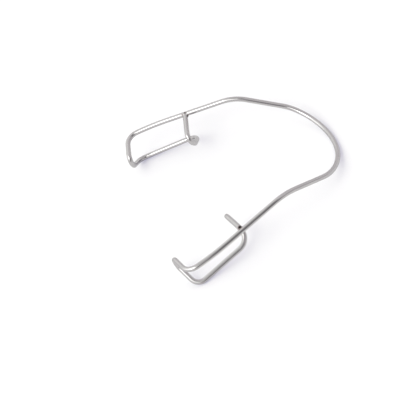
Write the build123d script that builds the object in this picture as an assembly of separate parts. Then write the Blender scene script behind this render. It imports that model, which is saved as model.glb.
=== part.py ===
from build123d import *
from math import cos, radians, sin
import os

# Wire eye speculum bent from one spring wire, in millimetres and degrees.
# The bow is at -X, the lid channels are at +X, and +Z points up from the table.

wire_diameter = 0.56

# Bow: an arc that leans up from its lowest point on the table
bow_radius = 7.05
bow_half_angle = 47.5
bow_tilt_angle = 32.4
shoulder_run = 0.94
shoulder_radius = 4.7

# Slope: the straight rise from the shoulder to the knee
slope_length = 6.4
slope_splay_angle = 24.2
slope_rise_angle = 26.7
knee_radius = 4.8

# Arm: from the knee to the tip, with a slight outward curve
arm_length = 13.1
arm_splay_angle = 13.4
arm_fall_angle = 5.4
arm_bulge_offset = 0.35
arm_bulge_back = 3.2
arm_bulge_radius = 25.0
tip_radius = 1.35

# Lid channel: a hook at each end of the blade and a rail between them
channel_length = 7.05
roof_drop = 0.34
nose_reach = 2.92
nose_drop = 1.79
rail_inset = 0.61
nose_radius = 0.75

tip_roof_reach = 3.44
tip_roof_lead = 0.14
tip_nose_lead = 0.21
tip_rail_lead = -0.12
tip_rail_drop = 3.41
tip_heel_radius = 1.1

end_roof_reach = 3.69
end_roof_lead = 0.04
end_nose_lead = -0.27
end_rail_lead = -0.51
end_rail_drop = 2.98
end_heel_radius = 1.5

# Weld: the wire's end stops just off the arm and a bead closes the joint
weld_back = 0.12
weld_gap = 0.03
weld_radius = 0.33

wire_radius = wire_diameter / 2


def heading(splay, rise):
    """Unit vector turned outward from +X by splay and upward by rise."""
    return Vector(
        cos(radians(rise)) * cos(radians(splay)),
        cos(radians(rise)) * sin(radians(splay)),
        sin(radians(rise)),
    )


def spring_corners():
    """Corners from the middle of the bow to the tip of the arm at +Y."""
    half_angle = radians(bow_half_angle)
    lean = heading(0, bow_tilt_angle)
    across = Vector(0, 1, 0)
    bow_corner = lean * (bow_radius - bow_radius / cos(half_angle))
    bow_end = lean * (bow_radius - bow_radius * cos(half_angle)) + across * (bow_radius * sin(half_angle))
    shoulder = bow_end + (lean * sin(half_angle) + across * cos(half_angle)) * shoulder_run
    knee = shoulder + heading(slope_splay_angle, slope_rise_angle) * slope_length
    tip = knee + heading(arm_splay_angle, -arm_fall_angle) * arm_length
    return bow_corner, shoulder, knee, tip


def blade_plane(tip):
    """Plane at the arm's tip: X along the arm, Y outward, Z up from the blade."""
    along = heading(arm_splay_angle, -arm_fall_angle)
    outward = heading(arm_splay_angle + 90, 0)
    return Plane(origin=tip, x_dir=along, z_dir=along.cross(outward))


def channel_corners(blade):
    """Corners of the lid channel from the arm's tip back to the welded end."""
    corners = (
        (tip_roof_lead, -tip_roof_reach, -roof_drop),
        (tip_nose_lead, -nose_reach, -nose_drop),
        (tip_rail_lead, -rail_inset, -tip_rail_drop),
        (end_rail_lead - channel_length, -rail_inset, -end_rail_drop),
        (end_nose_lead - channel_length, -nose_reach, -nose_drop),
        (end_roof_lead - channel_length, -end_roof_reach, -roof_drop),
    )
    return [blade.from_local_coords(Vector(*corner)) for corner in corners]


def half_path():
    """Corners and bend radii of one side, and the bow's own corner."""
    bow_corner, shoulder, knee, tip = spring_corners()
    blade = blade_plane(tip)
    bulge = blade.from_local_coords(Vector(-arm_bulge_back, arm_bulge_offset, 0))
    channel = channel_corners(blade)

    # The welded end aims at the arm's own centre line, a little nearer the bow than the channel's end
    share = (arm_length - channel_length - weld_back) / (arm_length - arm_bulge_back)
    joint = knee + (bulge - knee) * share
    stop = joint + (channel[-1] - joint).normalized() * (wire_radius + weld_gap)

    corners = [shoulder, knee, bulge, tip] + channel + [stop]
    radii = [
        shoulder_radius,
        knee_radius,
        arm_bulge_radius,
        tip_radius,
        nose_radius,
        nose_radius,
        tip_heel_radius,
        end_heel_radius,
        nose_radius,
        nose_radius,
    ]
    return bow_corner, corners, radii


def mirrored(point):
    return Vector(point.X, -point.Y, point.Z)


def make_wire_path():
    """Centre line of the whole wire, from one welded end to the other."""
    bow_corner, corners, radii = half_path()
    other_side = [mirrored(point) for point in reversed(corners)]
    points = other_side + [bow_corner] + corners
    bends = list(reversed(radii)) + [bow_radius] + radii
    return FilletPolyline(*points, radius=bends)


def make_wire(path):
    """Round wire swept along the centre line."""
    section = Plane(origin=path @ 0, z_dir=path % 0) * Circle(wire_radius)
    return sweep(section, path=path)


def make_weld_beads(path):
    """Bead at each end of the wire, joining it to the arm beside it."""
    return [Pos(*(path @ place)) * Sphere(weld_radius) for place in (0, 1)]


def make_speculum():
    path = make_wire_path()
    speculum = make_wire(path)
    for bead in make_weld_beads(path):
        speculum = speculum + bead
    bounds = speculum.bounding_box()
    return Pos(-(bounds.min.X + bounds.max.X) / 2, 0, -bounds.min.Z) * speculum


os.makedirs("parts", exist_ok=True)
speculum_wire = make_speculum()
export_step(speculum_wire, "parts/speculum_wire.step")
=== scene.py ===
from math import acos, cos, exp, pi, radians, sin, tan

import bpy
from mathutils import Matrix, Vector, noise


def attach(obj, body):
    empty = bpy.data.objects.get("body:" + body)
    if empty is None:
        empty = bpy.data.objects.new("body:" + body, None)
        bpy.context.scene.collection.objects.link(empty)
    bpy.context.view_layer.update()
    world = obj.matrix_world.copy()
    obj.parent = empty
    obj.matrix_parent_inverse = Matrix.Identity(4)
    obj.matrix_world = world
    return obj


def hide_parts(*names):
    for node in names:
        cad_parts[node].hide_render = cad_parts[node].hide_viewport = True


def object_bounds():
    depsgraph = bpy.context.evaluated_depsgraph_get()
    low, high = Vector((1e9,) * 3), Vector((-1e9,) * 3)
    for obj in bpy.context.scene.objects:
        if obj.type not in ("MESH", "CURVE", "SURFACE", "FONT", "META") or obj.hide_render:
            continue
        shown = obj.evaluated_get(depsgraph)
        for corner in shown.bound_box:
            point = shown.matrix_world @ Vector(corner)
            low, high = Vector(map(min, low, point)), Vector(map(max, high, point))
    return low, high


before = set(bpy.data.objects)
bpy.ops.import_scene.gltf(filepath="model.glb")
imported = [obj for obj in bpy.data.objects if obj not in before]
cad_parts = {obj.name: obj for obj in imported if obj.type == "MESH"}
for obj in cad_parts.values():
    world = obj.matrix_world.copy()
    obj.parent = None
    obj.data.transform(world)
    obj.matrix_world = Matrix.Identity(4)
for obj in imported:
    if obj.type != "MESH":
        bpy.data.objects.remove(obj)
cad_low, cad_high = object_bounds()

MM = 0.001

# Wire and bends, in millimetres and degrees, as in the part's source
WIRE_RADIUS = 0.28
BOW_RADIUS = 7.05
BOW_HALF_ANGLE = 47.5
BOW_TILT = 32.4
SHOULDER_RUN = 0.94
SHOULDER_RADIUS = 4.7
SLOPE_LENGTH = 6.4
SLOPE_SPLAY = 24.2
SLOPE_RISE = 26.7
KNEE_RADIUS = 4.8
ARM_LENGTH = 13.1
ARM_SPLAY = 13.4
ARM_FALL = 5.4
ARM_BULGE = 0.35
ARM_BULGE_BACK = 3.2
ARM_BULGE_RADIUS = 25.0
TIP_RADIUS = 1.35
CHANNEL_LENGTH = 7.05
ROOF_DROP = 0.34
NOSE_REACH = 2.92
NOSE_DROP = 1.79
NOSE_RADIUS = 0.75
RAIL_INSET = 0.61
TIP_ROOF_REACH = 3.44
TIP_ROOF_LEAD = 0.14
TIP_NOSE_LEAD = 0.21
TIP_RAIL_LEAD = -0.12
TIP_RAIL_DROP = 3.41
TIP_HEEL_RADIUS = 1.1
END_ROOF_REACH = 3.69
END_ROOF_LEAD = 0.04
END_NOSE_LEAD = -0.27
END_RAIL_LEAD = -0.51
END_RAIL_DROP = 2.98
END_HEEL_RADIUS = 1.5

# Weld: the fillet where the wire's end meets the arm, in millimetres
WELD_BACK = 0.12
WELD_FILLET = 0.2
WELD_FADE = 0.2
WELD_ZONE = 0.9
BURIED_DEPTH = 0.025
LARGEST_LIFT = 0.18
WELD_LUMPS = 0.012
LUMPS_PER_MM = 5
FULL_LUMPS_LIFT = 0.03
SEARCH_STEPS = 12

# Dark marks at each weld, heat oxide with painted shade in the crotch where the stub meets the arm: along
# the stub, down the slope, up, and radius; the first is a pit
LEFT_MARKS = ((0.34, -0.01, 0.25, 0.185), (0.3, -0.3, 0.1, 0.05))
RIGHT_MARKS = ((0.28, 0.36, 0.08, 0.13), (0.06, 0.08, 0.28, 0.09), (0.28, -0.32, 0.1, 0.08))
PIT_DEPTH = 0.05
NO_MARK = 3.0

# Mesh fineness
AROUND = 40
STEP_ALONG = 0.12
STEP_TURN = 3.0
WELD_STEP = 0.03

# Steel: colours and roughness, and the scale of each pattern along and across the wire
STEEL_DARK = (0.445, 0.433, 0.437)
STEEL_LIGHT = (0.555, 0.542, 0.546)
EDGE_TINT = (0.85, 0.85, 0.85)
PATCH_DARK = 0.93
LEAST_ROUGHNESS = 0.12
MOST_ROUGHNESS = 0.21
BEND_ROUGHNESS = 0.1
MARK_ROUGHNESS = 0.25
LINES = (0.9, 16.0, 16.0)
HAIRLINES = (2.5, 60.0, 60.0)
PATCHES = (0.7, 1.2, 1.2)
SPECKS = (6.0, 3.0, 3.0)
LINES_SHARE = 0.6
BUMP_STRENGTH = 0.25
BUMP_HEIGHT = 0.004

# Weld marks, heat oxide with painted shade in the crotch: colours that darken the steel, and how far their
# edges wander
MARK_BLACK = (0.03, 0.028, 0.027)
MARK_BROWN = (0.3, 0.25, 0.23)
MARK_TINT = (0.9, 0.84, 0.85)
UNMARKED = (1.0, 1.0, 1.0)
MARK_WANDER = 0.2

# Table top: its colour, what brings it up to white, and in millimetres its half width and gap to the wire
FLOOR_COLOUR = (0.71, 0.72, 0.62)
FLOOR_FILL = (0.15, 0.135, 0.27)
FLOOR_REACH = 600
FLOOR_GAP = 0.002

# Sky, each lobe as azimuth, elevation, full within and none beyond this many degrees, gain
SKY_LOBES = (
    (12, 36, 12, 38, 1.0),
    (56, 48, 12, 30, 1.8),
    (-45, 45, 10, 55, 0.35),
    (101, 22, 10, 34, -0.65),
    (88, 68, 8, 24, -0.8),
    (140, -8, 10, 60, -0.3),
)
SKY_LEVEL = 0.92
SKY_DIMMEST = 0.15
SKY_BRIGHTEST = 2.3
DIM_LEVEL = 0.85
BRIGHT_LEVEL = 1.3
DIM_COLOUR = (1.0, 0.97, 0.985)
SKY_COLOUR = (1.0, 1.01, 0.985)

# Lamp: direction in degrees, distance and disc size in millimetres, power in watts
LAMP_AZIMUTH = 36
LAMP_ELEVATION = 50
LAMP_DISTANCE = 300
LAMP_SIZE = 140
LAMP_POWER = 0.15

# Camera: places, lens and sensor in millimetres, and how far it sees in metres
CAMERA_PLACE = (4.902, 118.536, 126.330)
CAMERA_AIM = (5.456, -0.720, 0.028)
CAMERA_UP = (-0.43266, -0.65647, 0.61794)
CAMERA_LENS = 141.52
SENSOR_WIDTH = 36
NEAREST_SEEN = 0.005
FARTHEST_SEEN = 10


def heading(splay, rise):
    return Vector(
        (
            cos(radians(rise)) * cos(radians(splay)),
            cos(radians(rise)) * sin(radians(splay)),
            sin(radians(rise)),
        )
    )


def blade_point(tip, lead, out, up):
    along = heading(ARM_SPLAY, -ARM_FALL)
    outward = heading(ARM_SPLAY + 90, 0)
    return tip + along * lead + outward * out + along.cross(outward) * up


def side_corners():
    """Corners and bend radii of the side at +Y, from the shoulder to the welded end."""
    half_angle = radians(BOW_HALF_ANGLE)
    lean = heading(0, BOW_TILT)
    across = Vector((0, 1, 0))
    bow_corner = lean * (BOW_RADIUS - BOW_RADIUS / cos(half_angle))
    bow_end = lean * (BOW_RADIUS - BOW_RADIUS * cos(half_angle)) + across * (BOW_RADIUS * sin(half_angle))
    shoulder = bow_end + (lean * sin(half_angle) + across * cos(half_angle)) * SHOULDER_RUN
    knee = shoulder + heading(SLOPE_SPLAY, SLOPE_RISE) * SLOPE_LENGTH
    tip = knee + heading(ARM_SPLAY, -ARM_FALL) * ARM_LENGTH
    bulge = blade_point(tip, -ARM_BULGE_BACK, ARM_BULGE, 0)
    roof_end = blade_point(tip, END_ROOF_LEAD - CHANNEL_LENGTH, -END_ROOF_REACH, -ROOF_DROP)
    share = (ARM_LENGTH - CHANNEL_LENGTH - WELD_BACK) / (ARM_LENGTH - ARM_BULGE_BACK)
    joint = knee + (bulge - knee) * share
    corners = [
        (shoulder, SHOULDER_RADIUS),
        (knee, KNEE_RADIUS),
        (bulge, ARM_BULGE_RADIUS),
        (tip, TIP_RADIUS),
        (blade_point(tip, TIP_ROOF_LEAD, -TIP_ROOF_REACH, -ROOF_DROP), NOSE_RADIUS),
        (blade_point(tip, TIP_NOSE_LEAD, -NOSE_REACH, -NOSE_DROP), NOSE_RADIUS),
        (blade_point(tip, TIP_RAIL_LEAD, -RAIL_INSET, -TIP_RAIL_DROP), TIP_HEEL_RADIUS),
        (blade_point(tip, END_RAIL_LEAD - CHANNEL_LENGTH, -RAIL_INSET, -END_RAIL_DROP), END_HEEL_RADIUS),
        (blade_point(tip, END_NOSE_LEAD - CHANNEL_LENGTH, -NOSE_REACH, -NOSE_DROP), NOSE_RADIUS),
        (roof_end, NOSE_RADIUS),
        (joint, 0),
    ]
    return bow_corner, corners


def mirrored(corner):
    point, bend = corner
    return Vector((point.x, -point.y, point.z)), bend


def straight_samples(start, end):
    """Points along a straight run, without its end."""
    count = max(1, round((end - start).length / STEP_ALONG))
    return [(start.lerp(end, i / count), 0.0) for i in range(count)]


def bend_samples(before, corner, after, bend):
    """Points along the arc that rounds a corner, each with its sharpness, and the arc's two ends."""
    back = (before - corner).normalized()
    onward = (after - corner).normalized()
    turn = pi - acos(max(-1.0, min(1.0, back.dot(onward))))
    first = corner + back * (bend * tan(turn / 2))
    centre = corner + (back + onward).normalized() * (bend / cos(turn / 2))
    from_centre = (first - centre) / bend
    heading_in = -back
    count = max(2, round(turn / radians(STEP_TURN)), round(turn * bend / (2 * STEP_ALONG)))
    samples = []
    for i in range(count + 1):
        angle = turn * i / count
        samples.append((centre + (from_centre * cos(angle) + heading_in * sin(angle)) * bend, 1.0 / bend))
    return samples


def centre_line(chain):
    """Centre line of the whole wire as (point, sharpness) samples, from one joint to the other."""
    samples = []
    run_start = chain[0][0]
    for before, this, after in zip(chain, chain[1:], chain[2:]):
        arc = bend_samples(before[0], this[0], after[0], this[1])
        samples += straight_samples(run_start, arc[0][0])
        samples += arc[:-1]
        run_start = arc[-1][0]
    samples += straight_samples(run_start, chain[-1][0])
    samples.append((chain[-1][0], 0.0))
    return samples


def finer_near(samples, joints):
    """The same centre line with short steps beside the joints, where the wire is straight."""
    finer = []
    for (point, bend), (following, _) in zip(samples, samples[1:]):
        near = min((point - joint).length for joint in joints) < WELD_ZONE
        count = round((following - point).length / WELD_STEP) if near else 1
        finer += [(point.lerp(following, i / count), bend) for i in range(count)]
    return finer + [samples[-1]]


def carried_frames(points):
    """A tangent and a sideways direction at each point, with no twist along the wire."""
    tangents = []
    for i in range(len(points)):
        tangents.append((points[min(i + 1, len(points) - 1)] - points[max(i - 1, 0)]).normalized())
    side = tangents[0].orthogonal().normalized()
    sides = []
    for tangent in tangents:
        side = (side - tangent * side.dot(tangent)).normalized()
        sides.append(side)
    return tangents, sides


def part_offset(samples):
    """The shift that puts the bent wire where the part lies, by its lowest X and its highest Z."""
    low_x = min(point.x for point, _ in samples) - WIRE_RADIUS
    high_z = max(point.z for point, _ in samples) + WIRE_RADIUS
    return Vector((cad_low[0] / MM - low_x, 0, cad_high[2] / MM - high_z))


def outside_run(point, joint, along):
    """How far a point is outside a straight run of wire through a joint."""
    from_joint = point - joint
    return (from_joint - along * from_joint.dot(along)).length - WIRE_RADIUS


def filleted(first, second):
    """One distance from two crossing skins, with a fillet between them."""
    overlap = max(0.0, WELD_FILLET - abs(first - second))
    return min(first, second) - overlap * overlap / (4 * WELD_FILLET)


def weld_lift(point, out, joint, along):
    """How far a skin point lifts to lie on the fillet between its run and the crossing one."""
    if outside_run(point, joint, along) < -BURIED_DEPTH:
        return 0.0
    low, high = 0.0, WELD_FILLET
    for _ in range(SEARCH_STEPS):
        middle = (low + high) / 2
        if filleted(middle, outside_run(point + out * middle, joint, along)) < 0:
            low = middle
        else:
            high = middle
    return low if low < LARGEST_LIFT else 0.0


def welds_of(corners, offset):
    """Each joint as its place, the directions along its stub and down its slope, and its marks."""
    shoulder, knee, roof_end, joint = (point + offset for point, _ in corners[:2] + corners[-2:])
    stub = (roof_end - joint).normalized()
    down_slope = (shoulder - knee).normalized()
    flip = Vector((1, -1, 1))
    left = (joint, stub, down_slope, LEFT_MARKS)
    right = (joint * flip, stub * flip, down_slope * flip, RIGHT_MARKS)
    return [left, right]


def from_marks(point, joint, stub, down_slope, marks):
    """Distance from the middle of each weld mark, heat oxide with painted shade in the crotch, in that
    mark's own radius.
    """
    distances = []
    for along_stub, along_slope, up, radius in marks:
        middle = joint + stub * along_stub + down_slope * along_slope + Vector((0, 0, up))
        distances.append((point - middle).length / radius)
    return distances


def welded(point, out, welds):
    """A skin point moved onto the weld's fillet, and how far it is from the weld's marks of heat oxide and
    painted shade.
    """
    joint, stub, down_slope, marks = min(welds, key=lambda weld: (point - weld[0]).length)
    if (point - joint).length > WELD_ZONE:
        return point, NO_MARK
    # The arm counts as running down the slope, 33 degrees off its own line, which skews the fillet
    on_arm = abs(outside_run(point, joint, down_slope)) < abs(outside_run(point, joint, stub))
    crossing = stub if on_arm else down_slope
    # The fillet dies out where the stub's skin runs into the top and underside of the arm
    ahead = max(0.0, min(1.0, (point - joint).dot(stub) / WELD_FADE))
    lift = weld_lift(point, out, joint, crossing) * ahead * ahead * (3 - 2 * ahead)
    bumps = noise.fractal(point * LUMPS_PER_MM, 1.0, 2.0, 3)
    lumps = WELD_LUMPS * bumps * min(1.0, lift / FULL_LUMPS_LIFT)
    distances = from_marks(point, joint, stub, down_slope, marks)
    dent = PIT_DEPTH * exp(-distances[0] ** 2)
    return point + out * (lift + lumps - dent), min(NO_MARK, *distances)


def make_wire():
    """The whole visible wire as one skin, with its two welded joints."""
    bow_corner, corners = side_corners()
    chain = [mirrored(corner) for corner in reversed(corners)] + [(bow_corner, BOW_RADIUS)] + corners
    samples = centre_line(chain)
    offset = part_offset(samples)
    samples = finer_near(samples, (chain[0][0], chain[-1][0]))
    welds = welds_of(corners, offset)
    points = [point for point, _ in samples]
    tangents, sides = carried_frames(points)
    vertices, coordinates, sharpness, marks = [], [], [], []
    distance = 0.0
    for i, (point, bend) in enumerate(samples):
        if i:
            distance += (point - points[i - 1]).length
        up = tangents[i].cross(sides[i])
        for j in range(AROUND):
            angle = 2 * pi * j / AROUND
            out = sides[i] * cos(angle) + up * sin(angle)
            place, off_marks = welded(point + out * WIRE_RADIUS + offset, out, welds)
            vertices.append(place)
            coordinates.append((distance, cos(angle), sin(angle)))
            sharpness.append(min(1.0, bend))
            marks.append(off_marks)
    wire = new_mesh_object("speculum_wire_skin", vertices, tube_faces(len(samples)))
    set_attribute(wire.data, "wire_coord", "FLOAT_VECTOR", coordinates)
    set_attribute(wire.data, "bend", "FLOAT", sharpness)
    set_attribute(wire.data, "from_marks", "FLOAT", marks)
    return wire


def tube_faces(rings):
    """Faces of a closed tube whose rings of vertices follow each other."""
    faces = []
    for i in range(rings - 1):
        for j in range(AROUND):
            k = (j + 1) % AROUND
            faces.append((i * AROUND + j, i * AROUND + k, (i + 1) * AROUND + k, (i + 1) * AROUND + j))
    faces.append(tuple(reversed(range(AROUND))))
    last = (rings - 1) * AROUND
    faces.append(tuple(range(last, last + AROUND)))
    return faces


def new_mesh_object(name, vertices, faces):
    mesh = bpy.data.meshes.new(name)
    mesh.from_pydata([vertex * MM for vertex in vertices], [], faces)
    mesh.update()
    piece = bpy.data.objects.new(name, mesh)
    bpy.context.scene.collection.objects.link(piece)
    mesh.polygons.foreach_set("use_smooth", [True] * len(mesh.polygons))
    return piece


def set_attribute(mesh, name, kind, values):
    layer = mesh.attributes.new(name, kind, "POINT")
    key = "vector" if kind == "FLOAT_VECTOR" else "value"
    flat = [number for value in values for number in value] if kind == "FLOAT_VECTOR" else values
    layer.data.foreach_set(key, flat)


def add_node(tree, kind, inputs=(), **settings):
    """A shader node with its settings, and its inputs by name or number."""
    node = tree.nodes.new(kind)
    for name, value in settings.items():
        setattr(node, name, value)
    for name, value in dict(inputs).items():
        socket = node.inputs[name]
        if isinstance(value, bpy.types.NodeSocket):
            tree.links.new(value, socket)
        else:
            socket.default_value = value
    return node


def add_ramp(tree, value, stops):
    """A colour ramp over a value, with its stops as (place, grey or colour)."""
    node = add_node(tree, "ShaderNodeValToRGB", {"Fac": value})
    ramp = node.color_ramp
    while len(ramp.elements) < len(stops):
        ramp.elements.new(0.5)
    for element, (place, colour) in zip(ramp.elements, stops):
        element.position = place
        element.color = (*colour, 1) if isinstance(colour, tuple) else (colour, colour, colour, 1)
    return node.outputs["Color"]


def add_map(tree, value, low, high, to_low, to_high, smooth=False):
    """A value carried from one range to another, and held at its ends."""
    kind = "SMOOTHSTEP" if smooth else "LINEAR"
    inputs = {"Value": value, "From Min": low, "From Max": high, "To Min": to_low, "To Max": to_high}
    node = add_node(tree, "ShaderNodeMapRange", inputs, interpolation_type=kind, clamp=True)
    return node.outputs["Result"]


def add_mix(tree, factor, first, second, blend="MIX"):
    node = add_node(tree, "ShaderNodeMix", data_type="RGBA", blend_type=blend)
    for name, value in (("Factor_Float", factor), ("A_Color", first), ("B_Color", second)):
        socket = next(s for s in node.inputs if s.identifier == name)
        if isinstance(value, bpy.types.NodeSocket):
            tree.links.new(value, socket)
        else:
            socket.default_value = (*value, 1) if isinstance(value, tuple) else value
    return next(s for s in node.outputs if s.identifier == "Result_Color")


def add_math(tree, operation, first, second):
    return add_node(tree, "ShaderNodeMath", {0: first, 1: second}, operation=operation).outputs[0]


def stretched_noise(tree, vector, stretch, detail):
    """Noise drawn out along the wire: stretch gives its scale along and across."""
    scaled = add_node(tree, "ShaderNodeVectorMath", {0: vector, 1: stretch}, operation="MULTIPLY")
    inputs = {"Vector": scaled.outputs[0], "Scale": 1.0, "Detail": detail, "Roughness": 0.6}
    return add_node(tree, "ShaderNodeTexNoise", inputs).outputs["Fac"]


def make_steel():
    """Satin drawn steel: lines along the wire, duller bends, and dark marks at the welds of heat oxide
    with painted shade in their crotches.
    """
    material = bpy.data.materials.new("spring_steel")
    material.use_nodes = True
    tree = material.node_tree
    shader = next(node for node in tree.nodes if node.type == "BSDF_PRINCIPLED")
    coord = add_node(tree, "ShaderNodeAttribute", attribute_name="wire_coord").outputs["Vector"]
    bend = add_node(tree, "ShaderNodeAttribute", attribute_name="bend").outputs["Fac"]
    marks = add_node(tree, "ShaderNodeAttribute", attribute_name="from_marks").outputs["Fac"]

    lines = stretched_noise(tree, coord, LINES, 5.0)
    hair = stretched_noise(tree, coord, HAIRLINES, 3.0)
    patches = stretched_noise(tree, coord, PATCHES, 3.0)
    specks = stretched_noise(tree, coord, SPECKS, 3.0)

    steel = add_ramp(tree, lines, [(0.25, STEEL_DARK), (0.75, STEEL_LIGHT)])
    worn = add_ramp(tree, patches, [(0.35, PATCH_DARK), (0.65, 1.0)])
    steel = add_mix(tree, 1.0, steel, worn, "MULTIPLY")

    # Weld marks: heat oxide with painted shade, near black in the crotch where the stub meets the arm
    reach = add_math(tree, "ADD", marks, add_map(tree, specks, 0.3, 0.7, -MARK_WANDER, MARK_WANDER))
    stops = [(0.0, MARK_BLACK), (0.28, MARK_BLACK), (0.38, MARK_BROWN), (0.5, MARK_TINT), (0.75, UNMARKED)]
    weld_burn_and_shade = add_ramp(tree, add_map(tree, reach, 0.0, NO_MARK, 0.0, 1.0), stops)
    tree.links.new(add_mix(tree, 1.0, steel, weld_burn_and_shade, "MULTIPLY"), shader.inputs["Base Color"])

    rough = add_map(tree, lines, 0.3, 0.7, LEAST_ROUGHNESS, MOST_ROUGHNESS)
    rough = add_math(tree, "ADD", rough, add_map(tree, bend, 0.3, 1.0, 0.0, BEND_ROUGHNESS))
    rough = add_math(tree, "ADD", rough, add_map(tree, reach, 0.8, 1.8, MARK_ROUGHNESS, 0.0))
    tree.links.new(rough, shader.inputs["Roughness"])

    coarse = add_math(tree, "MULTIPLY", lines, LINES_SHARE)
    fine = add_math(tree, "MULTIPLY", hair, 1 - LINES_SHARE)
    height = add_math(tree, "ADD", coarse, fine)
    inputs = {"Height": height, "Strength": BUMP_STRENGTH, "Distance": BUMP_HEIGHT * MM}
    bump = add_node(tree, "ShaderNodeBump", inputs)
    tree.links.new(bump.outputs["Normal"], shader.inputs["Normal"])
    shader.inputs["Metallic"].default_value = 1.0
    shader.inputs["Specular Tint"].default_value = (*EDGE_TINT, 1)
    return material


def make_floor():
    """White table top: lit white with the object's soft shadow on it."""
    material = bpy.data.materials.new("table_top")
    material.use_nodes = True
    tree = material.node_tree
    tree.nodes.clear()
    path = add_node(tree, "ShaderNodeLightPath")
    seen = add_math(tree, "MAXIMUM", path.outputs["Is Camera Ray"], path.outputs["Is Glossy Ray"])
    seen = add_math(tree, "MAXIMUM", seen, path.outputs["Is Transmission Ray"])
    lit = add_node(tree, "ShaderNodeBsdfDiffuse", {"Color": (*FLOOR_COLOUR, 1)})
    fill = add_node(tree, "ShaderNodeEmission", {"Color": (*FLOOR_FILL, 1), "Strength": seen})
    both = add_node(tree, "ShaderNodeAddShader", {0: lit.outputs[0], 1: fill.outputs[0]})
    output = add_node(tree, "ShaderNodeOutputMaterial")
    tree.links.new(both.outputs[0], output.inputs["Surface"])

    corners = [Vector((x, y, 0)) * FLOOR_REACH for x, y in ((-1, -1), (1, -1), (1, 1), (-1, 1))]
    floor = new_mesh_object("table_top", corners, [(0, 1, 2, 3)])
    floor.location.z = cad_low[2] - FLOOR_GAP * MM
    floor.data.materials.append(material)


def make_world():
    """White surroundings: brighter past the lid channels, dimmer on the camera side."""
    world = bpy.data.worlds.new("studio")
    bpy.context.scene.world = world
    world.use_nodes = True
    tree = world.node_tree
    tree.nodes.clear()
    direction = add_node(tree, "ShaderNodeTexCoord").outputs["Generated"]
    level = SKY_LEVEL
    for azimuth, elevation, inner, outer, gain in SKY_LOBES:
        towards = heading(azimuth, elevation)
        dot = add_node(tree, "ShaderNodeVectorMath", {0: direction, 1: towards}, operation="DOT_PRODUCT")
        edge, full = cos(radians(outer)), cos(radians(inner))
        lobe = add_map(tree, dot.outputs["Value"], edge, full, 0.0, gain, smooth=True)
        level = add_math(tree, "ADD", lobe, level)
    level = add_math(tree, "MINIMUM", level, SKY_BRIGHTEST)
    level = add_math(tree, "MAXIMUM", level, SKY_DIMMEST)
    tint = add_mix(tree, add_map(tree, level, DIM_LEVEL, BRIGHT_LEVEL, 0.0, 1.0), DIM_COLOUR, SKY_COLOUR)
    light = add_node(tree, "ShaderNodeBackground", {"Color": tint, "Strength": level})
    output = add_node(tree, "ShaderNodeOutputWorld")
    tree.links.new(light.outputs[0], output.inputs["Surface"])


def make_lamp():
    data = bpy.data.lights.new("key", "AREA")
    data.shape = "DISK"
    data.size = LAMP_SIZE * MM
    data.energy = LAMP_POWER
    lamp = bpy.data.objects.new("key", data)
    towards = heading(LAMP_AZIMUTH, LAMP_ELEVATION)
    lamp.location = towards * LAMP_DISTANCE * MM
    lamp.rotation_euler = towards.to_track_quat("Z", "Y").to_euler()
    bpy.context.scene.collection.objects.link(lamp)


def make_camera():
    data = bpy.data.cameras.new("camera")
    data.sensor_width = SENSOR_WIDTH
    data.lens = CAMERA_LENS
    data.clip_start = NEAREST_SEEN
    data.clip_end = FARTHEST_SEEN
    camera = bpy.data.objects.new("camera", data)
    place = Vector(CAMERA_PLACE)
    back = (place - Vector(CAMERA_AIM)).normalized()
    right = Vector(CAMERA_UP).cross(back).normalized()
    up = back.cross(right)
    turn = Matrix((right, up, back)).transposed()
    camera.matrix_world = Matrix.Translation(place * MM) @ turn.to_4x4()
    bpy.context.scene.collection.objects.link(camera)
    bpy.context.scene.camera = camera


skin = make_wire()
skin.data.materials.append(make_steel())
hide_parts("speculum_wire")
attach(skin, "root")
make_floor()
make_world()
make_lamp()
make_camera()
bpy.context.scene.view_settings.view_transform = "Standard"
